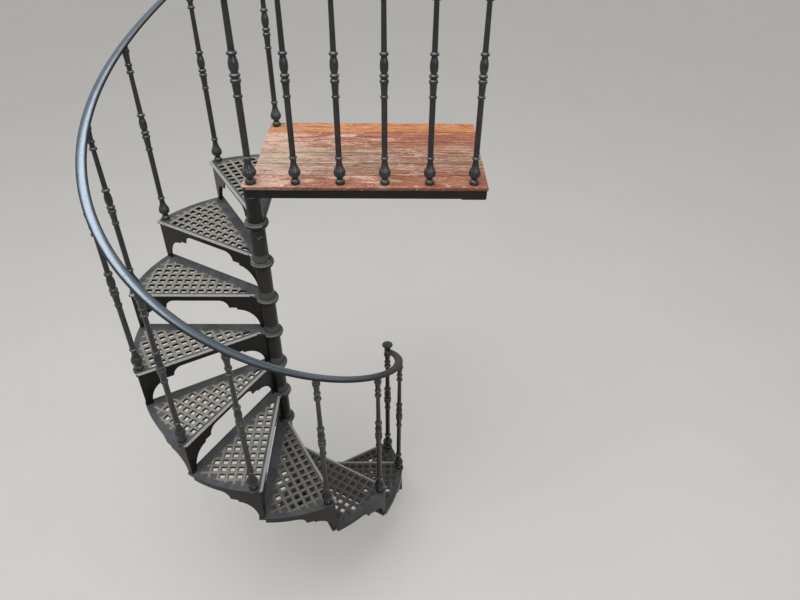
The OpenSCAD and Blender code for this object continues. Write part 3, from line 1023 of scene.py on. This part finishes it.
@dataclass
class Turned:
    """A turned baluster or newel, in the proportions of the casting."""

    height: float = 0.926
    base: float = 0.142
    foot: float = 0.022
    bulb: float = 0.029
    shaft: float = 0.0135
    ring: float = 0.020
    head: float = 0.017
    thick: float = 1.0
    ease: float = 0.0014
    newel_ease: float = 0.0018
    leaves: int = 8
    leaf_depth: float = 0.0034
    # Middle and half length of the leaves, as shares of the base and of the height.
    bulb_leaves: Span = (0.42, 0.2)
    vase_leaves: Span = (0.587, 0.032)
    vase_share: float = 0.55
    groove_ease: float = 0.7
    rib: float = 0.35
    rib_width: float = 0.3
    segments: int = 64

    def profile(self) -> list[Point]:
        """Returns the (radius, height) points from the foot to the head."""
        h, b = self.height, self.base
        sizes = (self.shaft, self.foot, self.bulb, self.ring, self.head)
        s, foot, bulb, ring, head = (size * self.thick for size in sizes)

        def at(length: float, *points: Point) -> list[Point]:
            """Turns (radius, share of a length) points into (radius, height) points."""
            return [(radius, length * share) for radius, share in points]

        foot_ring = at(b, (foot, 0), (foot, 0.1), (foot * 0.88, 0.135), (s * 1.08, 0.165))
        leafy_bulb = at(
            b, (s * 1.06, 0.205), (s * 1.3, 0.24), (bulb * 0.86, 0.29), (bulb * 0.97, 0.34), (bulb, 0.385),
            (bulb * 0.97, 0.44), (bulb * 0.86, 0.51), (s * 1.44, 0.585), (s * 1.16, 0.67), (s * 1.02, 0.75),
            (s, 0.8),
        )
        neck_ring = at(b, (s, 0.865), (foot * 0.8, 0.88), (foot * 0.86, 0.91), (foot * 0.8, 0.94), (s, 0.955))
        low_band = at(h, (s, 0.434), (s * 1.3, 0.439), (s * 1.3, 0.447), (s, 0.452), (s * 1.22, 0.504))
        twin_rings = at(
            h, (ring, 0.51), (ring, 0.52), (s * 1.1, 0.526),
            (s * 1.1, 0.53), (ring, 0.535), (ring, 0.544), (s, 0.55),
        )
        small_vase = arc(s * 0.85, h * 0.585, ring * 0.96 - s * 0.85, h * 0.031, -70, 45)
        vase_ring = at(
            h, (s * 1.04, 0.618), (s * 0.95, 0.628),
            (ring * 0.96, 0.632), (ring * 0.96, 0.641), (s * 0.92, 0.647),
        )
        high_rings = at(
            h, (s * 0.81, 0.855), (ring * 0.9, 0.861), (ring * 0.9, 0.869), (s * 0.9, 0.874),
            (s * 0.9, 0.893), (ring * 0.85, 0.898), (ring * 0.85, 0.906), (s * 0.9, 0.911),
        )
        flare = at(
            h, (s, 0.93), (head * 0.92, 0.958), (head * 1.15, 0.965), (head * 1.15, 0.978), (head, 0.983)
        )
        lower = [*foot_ring, *flowing(leafy_bulb), *neck_ring]
        return [*lower, *low_band, *twin_rings, *small_vase, *vase_ring, *high_rings, *flare]

    def leaf_relief(self, angles: np.ndarray, height: float) -> np.ndarray:
        """Depth of the grooves between the cast leaves round the bulb and the small vase at mid height.

        Args:
            angles: Directions round the axis.
            height: Height of the ring above the foot.

        Returns:
            The depth at each direction.
        """
        (bulb_middle, bulb_half), (vase_middle, vase_half) = self.bulb_leaves, self.vase_leaves
        bulb = 1 - ((height / self.base - bulb_middle) / bulb_half) ** 2
        vase = self.vase_share - ((height / self.height - vase_middle) / vase_half) ** 2
        groove = np.abs(np.sin(angles * self.leaves / 2)) ** self.groove_ease
        rib = self.rib * np.exp(-((np.cos(angles * self.leaves / 2) / self.rib_width) ** 2) / 2)
        return self.leaf_depth * self.thick * max(0.0, bulb, vase) * (1 - groove + rib)

    def mesh(self, name: str, slope: float) -> bpy.types.Mesh:
        """Makes the baluster, its head cut to the slope of the handrail, which falls along +Y.

        Args:
            name: Name of the mesh.
            slope: Slope of the handrail in radians.

        Returns:
            The closed mesh, standing on the origin.
        """
        points = eased([*self.profile(), (self.head * self.thick, self.height)], self.ease)
        fall = math.tan(slope)
        return lathed(name, points, self.segments, lambda x, y: self.height - y * fall, self.leaf_relief)

    def newel_mesh(self, name: str, height: float, cap: float) -> bpy.types.Mesh:
        """Makes a newel, which carries on past the handrail to a rounded cap.

        Args:
            name: Name of the mesh.
            height: Its whole height.
            cap: Height of the cap.

        Returns:
            The closed mesh, standing on the origin.
        """
        neck = self.head * self.thick
        button = [(1.0, 1.0), (1.5, 0.75), (1.7, 0.5), (1.6, 0.2), (1.1, 0.0), (0.3, 0.0)]
        points = [*self.profile(), *((neck * wide, height - cap * below) for wide, below in button)]
        return lathed(name, eased(points, self.newel_ease, 4), self.segments, relief=self.leaf_relief)


@dataclass
class Balustrade:
    """All balusters and the two newels, each in the place of its CAD node."""

    nodes: Iterable[str]
    finish: bpy.types.Material
    thick: float = 1.18
    cap: float = 0.014
    level: float = 0.0005

    def slope_at(self, node: str) -> float:
        """Finds the slope of the handrail over a baluster from the tilt of its CAD head.

        Args:
            node: The CAD node of the baluster.

        Returns:
            The slope in radians.
        """
        low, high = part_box(node)
        over = high.z - low.z - Turned.height
        return math.atan(over / Turned.head) if over > self.level else 0.0

    def build(self) -> None:
        """Makes every baluster and newel, turned to face along the walk."""
        for node in sorted(self.nodes):
            low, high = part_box(node)
            if "baluster" in node:
                mesh = Turned().mesh(node, self.slope_at(node))
            elif node.endswith("newel"):
                mesh = Turned(thick=self.thick).newel_mesh(node, high.z - low.z, self.cap)
            else:
                continue
            x, y = axis_of(node)
            angle = math.atan2(y, x) if node.startswith(("step_", "back_")) else 0.0
            placed(mesh, Matrix.Translation((x, y, low.z)) @ Matrix.Rotation(angle, 4, "Z"))
            add_piece(f"turned_{node}", mesh, self.finish, Shade.CREASED, node)


@dataclass
class Handrail:
    """The flat bar with a rounded crown, up the spiral and along the landing."""

    plan: Plan
    finish: bpy.types.Material
    width: float = 0.046
    thickness: float = 0.015
    flat_share: float = 0.35
    core_share: float = 0.4
    corner: float = 0.0022
    crown_steps: int = 22
    seat: float = 0.0006
    baluster: float = Turned.height
    newel_neck: float = Turned.head * Balustrade.thick
    fit: float = 0.0003
    offset: float = 0.006
    overrun: float = math.radians(3)
    ring_turn: float = math.radians(1.25)
    probe: float = 0.01
    end_ease: float = 0.006
    end_rings: tuple[Point, ...] = ((0.94, 0.75), (0.82, 1.0))
    straight_rings: int = 40

    def section(self) -> list[Point]:
        """Returns the outline of the bar, from its lower left corner anticlockwise."""
        w, t = self.width / 2, self.thickness
        flat = self.flat_share * t
        lower = [(-w, flat), (-w, 0), (w, 0), (w, flat)]
        return eased(lower, self.corner, 4) + arc(0, flat, w, t - flat, 0, 180, self.crown_steps)[1:-1]

    def skin(self, name: str, frames: Sequence[tuple[Vector, Vector, Vector]]) -> bpy.types.Mesh:
        """Sweeps the section along a row of frames, with its two ends eased.

        Args:
            name: Name of the mesh.
            frames: For each ring its place, the direction of the width and the direction of the crown.

        Returns:
            The closed mesh.
        """
        outline = self.section()
        loops = [np.array([at + across * u + up * v for u, v in outline]) for at, across, up in frames]
        for end, inner in ((0, 1), (-1, -2)):
            centre, _, up = frames[end]
            back = np.array((centre - frames[inner][0]).normalized()) * self.end_ease
            core = np.array(centre + up * self.core_share * self.thickness)
            tip = [core + (loops[end] - core) * size - back * (1 - ahead) for size, ahead in self.end_rings]
            loops[end] = loops[end] - back
            loops = tip[::-1] + loops if end == 0 else loops + tip
        return mesh_of_loops(name, loops)

    def polar(self, node: str) -> tuple[float, float]:
        """Finds the axis of a post as seen from the column; directions below the arrival wrap round.

        Args:
            node: The CAD node of the post.

        Returns:
            Its radius, and its direction in radians.
        """
        x, y = axis_of(node)
        angle = math.atan2(y, x)
        return math.hypot(x, y), angle + 2 * math.pi if node == "bottom_newel" else angle

    def spiral_frames(self) -> list[tuple[Vector, Vector, Vector]]:
        """Places the rings of the spiral.

        Returns:
            The place, width and crown of each ring, from the back baluster down to the bottom newel.
        """
        plan = self.plan
        _, first = self.polar("bottom_newel")
        reach, last = self.polar(f"step_baluster_{plan.step_count}")
        back_circle, back = self.polar("back_baluster")
        circle = reach - self.offset
        homing_rise = plan.landing_top - plan.head_top - plan.boss

        def homing(angle: float) -> float:
            """Share of the way from the last step to the back baluster."""
            return max(0.0, (last - angle) / (last - back))

        def radius(angle: float) -> float:
            """Distance of the rail from the column axis."""
            return circle + (back_circle - circle) * homing(angle) ** 2

        def height(angle: float) -> float:
            """Height of the rail's underside."""
            climb = plan.rise * min(0.0, last - angle) / plan.turn + homing_rise * homing(angle)
            return plan.head_top + plan.boss + self.baluster + self.seat + climb

        slope = math.atan(plan.rise / (reach * plan.turn))
        gap = self.newel_neck + self.fit + self.thickness * math.sin(slope)
        start, end = back - self.overrun, first - math.asin(gap / reach)
        count = round((end - start) / self.ring_turn)
        frames = []
        for k in range(count + 1):
            a = start + (end - start) * k / count
            fall = height(a - self.probe) - height(a + self.probe)
            tilt = math.atan(fall / (2 * self.probe * radius(a)))
            out, along = Vector((math.cos(a), math.sin(a), 0)), Vector((-math.sin(a), math.cos(a), 0))
            up = along * math.sin(tilt) + Vector((0, 0, math.cos(tilt)))
            frames.append((out * radius(a) + Vector((0, 0, height(a))), out, up))
        return frames

    def build(self) -> None:
        """Makes the two rails."""
        low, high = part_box("landing_handrail")
        across, up = Vector((0, 1, 0)), Vector((0, 0, 1))
        stations = np.linspace(high.x, low.x, self.straight_rings)
        straight = [(Vector((x, 0, low.z)), across, up) for x in stations]
        for node, frames in (("spiral_handrail", self.spiral_frames()), ("landing_handrail", straight)):
            bar = self.skin(f"{node}_bar", frames)
            add_piece(f"polished_{node}", bar, self.finish, Shade.CREASED, node)


@dataclass
class Deck:
    """The boards of the landing, sawn, eased and weathered."""

    count: int = 6
    gap: float = 0.004
    corner: float = 0.044
    arrival: float = 0.007
    corner_length: float = 0.008
    corner_radius: float = 0.024
    stations: int = 150
    rows: int = 13
    ease: float = 0.0024
    under_ease: float = 0.001
    ease_turns: tuple[float, float] = (0.5, 1.05)
    worn_band: float = 0.6
    hollow: float = 0.0009
    ripple: float = 0.0005
    waves: tuple[float, float, float] = (5.0, 26.0, 7.3)
    ripples: float = 3.1
    end_wear: float = 0.0016
    end_reach: float = 0.004

    def left_edge(self, y: float, front: float) -> float:
        """Left end of the boards at a distance y, with the lobe that carries the top newel.

        Args:
            y: Distance behind the column axis.
            front: The y of the front edge.

        Returns:
            The x of the edge.
        """
        sweep = self.corner - self.arrival
        if y > self.corner_length + sweep:
            return -self.arrival
        if y > self.corner_length:
            return -self.arrival - math.sqrt(max(0.0, sweep**2 - (y - self.corner_length) ** 2))
        inside = front + self.corner_radius - y
        if inside > 0:
            return self.corner_radius - self.corner - math.sqrt(max(0.0, self.corner_radius**2 - inside**2))
        return -self.corner

    def ring(self, y0: float, y1: float, under: float, top: float) -> list[Point]:
        """Outline (y, z) of a board with eased arrises, from its lower front edge up and over.

        Args:
            y0: Its front side.
            y1: Its back side.
            under: Its underside.
            top: Its top.

        Returns:
            The points.
        """
        ease, low = self.ease, self.under_ease
        turn = [(ease * (1 - math.cos(a)), top - ease * (1 - math.sin(a))) for a in self.ease_turns]
        side = [(low, under), (0.0, under + low), (0.0, top - ease), *turn]
        middle = [(y, top) for y in np.linspace(y0 + ease, y1 - ease, self.rows)]
        return [*((y0 + y, z) for y, z in side), *middle, *((y1 - y, z) for y, z in side[::-1])]

    def worn(self, x: float, y: float, index: int, to_end: float) -> float:
        """Depth that feet and weather have taken off the top.

        Args:
            x: Place along the board.
            y: Place across the deck.
            index: Number of the board from the front.
            to_end: Distance to the nearer end of the board.

        Returns:
            The depth.
        """
        seed = Vector([place * wave for place, wave in zip((x, y, index), self.waves)])
        hollow = self.hollow * (0.5 + 0.5 * noise.noise(seed))
        ripple = self.ripple * abs(noise.noise(seed * self.ripples))
        return hollow + ripple + self.end_wear * math.exp(-to_end / self.end_reach)

    def board(self, index: int, pitch: float, low: Vector, high: Vector) -> bpy.types.Mesh:
        """Makes one board with eased arrises, a worn top and soft waves from the weather.

        Args:
            index: Number of the board from the front.
            pitch: Distance from board to board.
            low: Lowest corner of the deck.
            high: Highest corner of the deck.

        Returns:
            The closed mesh.
        """
        y0 = low.y + index * pitch
        ring = self.ring(y0, y0 + pitch - self.gap, low.z, high.z)
        worn_above = high.z - self.ease * self.worn_band
        loops = []
        for k in range(self.stations + 1):
            points = []
            for y, z in ring[::-1]:
                left = self.left_edge(min(max(y, low.y), high.y), low.y)
                x = left + (high.x - left) * k / self.stations
                if z > worn_above:
                    z -= self.worn(x, y, index, min(x - left, high.x - x))
                points.append((x, y, z))
            loops.append(np.array(points))
        return mesh_of_loops(f"board_{index}", loops)

    def build(self) -> None:
        """Makes all boards as one piece."""
        low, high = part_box("deck_boards")
        pitch = (high.y - low.y + self.gap) / self.count
        stain = WeatheredDeckStain(low.y, pitch).build()
        boards = joined("deck", [self.board(k, pitch, low, high) for k in range(self.count)])
        add_piece("weathered_deck_boards", boards, stain, Shade.CREASED, "deck_boards")


@dataclass
class Fixings:
    """Nuts, washers and bolt heads that hold the castings together."""

    plan: Plan
    finish: bpy.types.Material
    nut: float = 0.0098
    washer: float = 0.002
    washer_share: float = 1.15
    nut_share: float = 0.9
    stud_share: float = 0.5
    # Shares of a nut's reach and height, and of a disc's smaller size.
    nut_profile: tuple[Point, ...] = ((0.9, 0.0), (1.0, 0.14), (1.0, 0.86), (0.88, 1.0))
    disc_ease: float = 0.2
    disc_sides: int = 20
    base_circle: float = 0.098
    base_angles: tuple[float, ...] = (45.0, 135.0, 225.0, 315.0)
    base_stud: float = 0.006
    flange: float = 0.012
    stud: float = 0.004
    collar_circle: float = 0.0465
    collar_nut: float = 0.0072
    collar_step: int = 9
    collar_angles: tuple[float, float] = (-36.0, 2.0)
    pole_nut: float = 0.04
    pole_nut_height: float = 0.012
    bearing_setback: float = 0.055
    bearing_places: tuple[float, float] = (0.140, 0.525)
    bearing_stud: float = 0.005

    def hexagon(self, name: str, reach: float, height: float) -> bpy.types.Mesh:
        """Makes a hexagon nut, its corners turned off, from its reach to a corner and its height."""
        return lathed(name, [(reach * wide, height * up) for wide, up in self.nut_profile], 6)

    def disc(self, name: str, radius: float, height: float) -> bpy.types.Mesh:
        """Makes a washer or the end of a bolt, with its edge eased.

        Args:
            name: Name of the mesh.
            radius: Its radius.
            height: Its height.

        Returns:
            The closed mesh, standing on the origin.
        """
        ease = min(radius, height) * self.disc_ease
        profile = [(radius - ease, 0), (radius, ease), (radius, height - ease), (radius - ease, height)]
        return lathed(name, profile, self.disc_sides)

    def bolt(self, name: str, reach: float, stud: float) -> bpy.types.Mesh:
        """Makes a washer, a nut and the end of its stud.

        Args:
            name: Name of the mesh.
            reach: Distance from the middle of the nut to a corner.
            stud: How far the stud stands out of the nut.

        Returns:
            The joined mesh, standing on the origin.
        """
        tall = reach * self.nut_share
        washer = self.disc(name, reach * self.washer_share, self.washer)
        nut = placed(self.hexagon(name, reach, tall), Matrix.Translation((0, 0, self.washer)))
        end = self.disc(name, reach * self.stud_share, stud)
        return joined(name, [washer, nut, placed(end, Matrix.Translation((0, 0, self.washer + tall)))])

    def bolts(
        self, name: str, reach: float, stud: float, places: Iterable[Vector], turn: float = 0.0
    ) -> None:
        """Adds a set of like bolts as one piece.

        Args:
            name: Name of the piece.
            reach: Distance from the middle of a nut to a corner.
            stud: How far a stud stands out of its nut.
            places: Where the washers lie.
            turn: Turn about X in radians, for bolts that hang.
        """
        tilt = Matrix.Rotation(turn, 4, "X")
        parts = [placed(self.bolt(name, reach, stud), Matrix.Translation(place) @ tilt) for place in places]
        add_piece(name, joined(name, parts), self.finish, Shade.CRISP)

    def build(self) -> None:
        """Makes the bolts of base, collar and bearing, the balusters' nuts and the pole's lock nut."""
        plan = self.plan
        base = [around(self.base_circle, angle, self.flange) for angle in self.base_angles]
        self.bolts("base_bolts", self.nut, self.base_stud, base)
        posts = ["bottom_newel", *(f"step_baluster_{step}" for step in range(2, plan.step_count + 1))]
        under = [Vector((*axis_of(node), k * plan.rise - plan.plate)) for k, node in enumerate(posts, 1)]
        self.bolts("baluster_nuts", self.nut, self.stud, under, math.pi)
        collar = [around(self.collar_circle, a, self.collar_step * plan.rise) for a in self.collar_angles]
        self.bolts("collar_bolts", self.collar_nut, self.stud, collar)
        low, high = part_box("landing_frame")
        lock = self.hexagon("pole", self.pole_nut, self.pole_nut_height)
        placed(lock, Matrix.Translation((0, 0, low.z + 2 * plan.frame_bar)))
        add_piece("pole_lock_nut", lock, self.finish, Shade.CRISP)
        x, z = high.x - self.bearing_setback, low.z + plan.frame_bar
        bearing = [Vector((x, y, z)) for y in self.bearing_places]
        self.bolts("bearing_bolts", self.nut, self.bearing_stud, bearing)


@dataclass
class Castings:
    """The CAD castings that stay, each under its own finish."""

    casting: bpy.types.Material
    step: bpy.types.Material
    frame: bpy.types.Material

    def build(self, nodes: dict[str, bpy.types.Object]) -> None:
        """Dresses the castings, the pole and the landing frame.

        Args:
            nodes: The CAD nodes by name.
        """
        finishes = dict.fromkeys(("base_flange", "column_head", "centre_pole"), self.casting)
        finishes["landing_frame"] = self.frame
        finishes |= dict.fromkeys(filter(is_step, nodes), self.step)
        for name, finish in finishes.items():
            for slot in nodes[name].material_slots:
                slot.material = finish
            LOG.info("%s: %s", name, finish.name)


# The studio


@dataclass(frozen=True)
class Viewpoint:
    """The camera of the photograph, as a place in the frame and three angles in degrees."""

    place: tuple[float, float, float] = (0.6567, -2.7048, 3.925)
    pitch: float = 38.005
    yaw: float = 0.871
    roll: float = 0.665
    lens: float = 29.179
    film: float = 36.0
    reach: float = 200.0

    def build(self) -> None:
        """Makes the camera and gives it to the scene."""
        pitch, yaw, roll = (math.radians(v) for v in (self.pitch, self.yaw, self.roll))
        ahead = Vector((math.sin(yaw) * math.cos(pitch), math.cos(yaw) * math.cos(pitch), -math.sin(pitch)))
        right = Vector((math.cos(yaw), -math.sin(yaw), 0))
        up = right.cross(ahead)
        right, up = (
            right * math.cos(roll) + up * math.sin(roll),
            up * math.cos(roll) - right * math.sin(roll),
        )
        data = bpy.data.cameras.new("photo_camera")
        data.lens = self.lens
        data.sensor_width = self.film
        data.clip_end = self.reach
        camera = bpy.data.objects.new("photo_camera", data)
        turned = Matrix((right, up, -ahead)).transposed().to_4x4()
        camera.matrix_world = Matrix.Translation(self.place) @ turned
        bpy.context.scene.collection.objects.link(camera)
        bpy.context.scene.camera = camera
        LOG.info("camera at %s", self.place)


@dataclass(frozen=True)
class SoftLamp:
    """A square soft lamp: where it hangs, the point that it faces, the side of its square and its watts."""

    name: str
    place: tuple[float, float, float]
    size: float
    watts: float
    target: tuple[float, float, float] = (0.0, 0.0, 1.4)

    def build(self) -> None:
        """Hangs the lamp."""
        data = bpy.data.lights.new(self.name, "AREA")
        data.size = self.size
        data.energy = self.watts
        lamp = bpy.data.objects.new(self.name, data)
        lamp.location = self.place
        ahead = Vector(self.target) - Vector(self.place)
        lamp.rotation_euler = ahead.to_track_quat("-Z", "Y").to_euler()
        bpy.context.scene.collection.objects.link(lamp)


@dataclass(frozen=True)
class Studio:
    """A pale round floor under soft light from above."""

    floor_reach: float = 90.0
    floor_sides: int = 96
    floor_drop: float = 0.0004
    sky_tone: str = "#f6f8fb"
    sky: float = 0.36
    backdrop: float = 0.8
    lamps: tuple[SoftLamp, ...] = (
        SoftLamp("overhead", (-0.6, -0.9, 7.4), 4.6, 330),
        SoftLamp("front_fill", (3.2, -5.4, 4.4), 3.0, 80),
    )

    def build(self) -> None:
        """Makes the floor, the world and the lamps."""
        scene = bpy.context.scene
        scene.view_settings.view_transform = "Standard"
        corners = range(self.floor_sides)
        rim = [tuple(around(self.floor_reach, 360 * k / self.floor_sides, 0.0)) for k in corners]
        mesh = bpy.data.meshes.new("studio_floor")
        mesh.from_pydata(rim, [], [list(corners)])
        floor = make_object("studio_floor", mesh, StudioPaper().build(), Shade.SMOOTH)
        floor.location.z = -self.floor_drop
        self.build_world(scene)
        for lamp in self.lamps:
            lamp.build()

    def build_world(self, scene: bpy.types.Scene) -> None:
        """Makes an even sky, pale where the camera or a reflection sees it and dimmer where it lights.

        Args:
            scene: The scene that it is for.
        """
        world = bpy.data.worlds.new("studio_sky")
        world.use_nodes = True
        tree = world.node_tree
        tree.nodes.clear()
        reach = {0: seen_directly(tree), 3: self.sky, 4: self.backdrop}
        strength = add_node(tree, "ShaderNodeMapRange", reach).outputs[0]
        light = add_node(tree, "ShaderNodeBackground", {"Color": self.sky_tone, "Strength": strength})
        add_node(tree, "ShaderNodeOutputWorld", {"Surface": light.outputs[0]})
        scene.world = world


def main() -> None:
    """Builds the scene around the frame."""
    logging.basicConfig(level=logging.INFO, format="%(name)s: %(message)s")
    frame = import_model()
    plan = Plan.from_frame(frame["nodes"])
    Viewpoint().build()
    Studio().build()
    Castings(
        casting=BlackIronPaint("black_paint_on_cast_iron_column").build(),
        step=TroddenIronPaint(plan).build(),
        frame=BlackIronPaint(
            "black_paint_on_steel_angle", dust_and_highlight_share=0.3, rust_share=0.2, edge_share=0.3
        ).build(),
    ).build(frame["nodes"])
    turned_paint = BlackIronPaint(
        "black_paint_on_turned_iron",
        paint="#25272a",
        faded=Layer("#353636", 0.3, 0.75),
        dust_and_highlight_share=0.4,
        # Near-white edges: rubbed paint, and partly a painted highlight on the rings.
        edge_wear_and_highlight="#b4babb",
        edge_share=0.9,
        gloss=0.2,
        coat=0.4,
    )
    Balustrade(frame["nodes"], turned_paint.build()).build()
    Handrail(plan, HandPolishedRail().build()).build()
    Deck().build()
    Fixings(plan, ZincedSteel().build()).build()


if __name__ == "__main__":
    main()
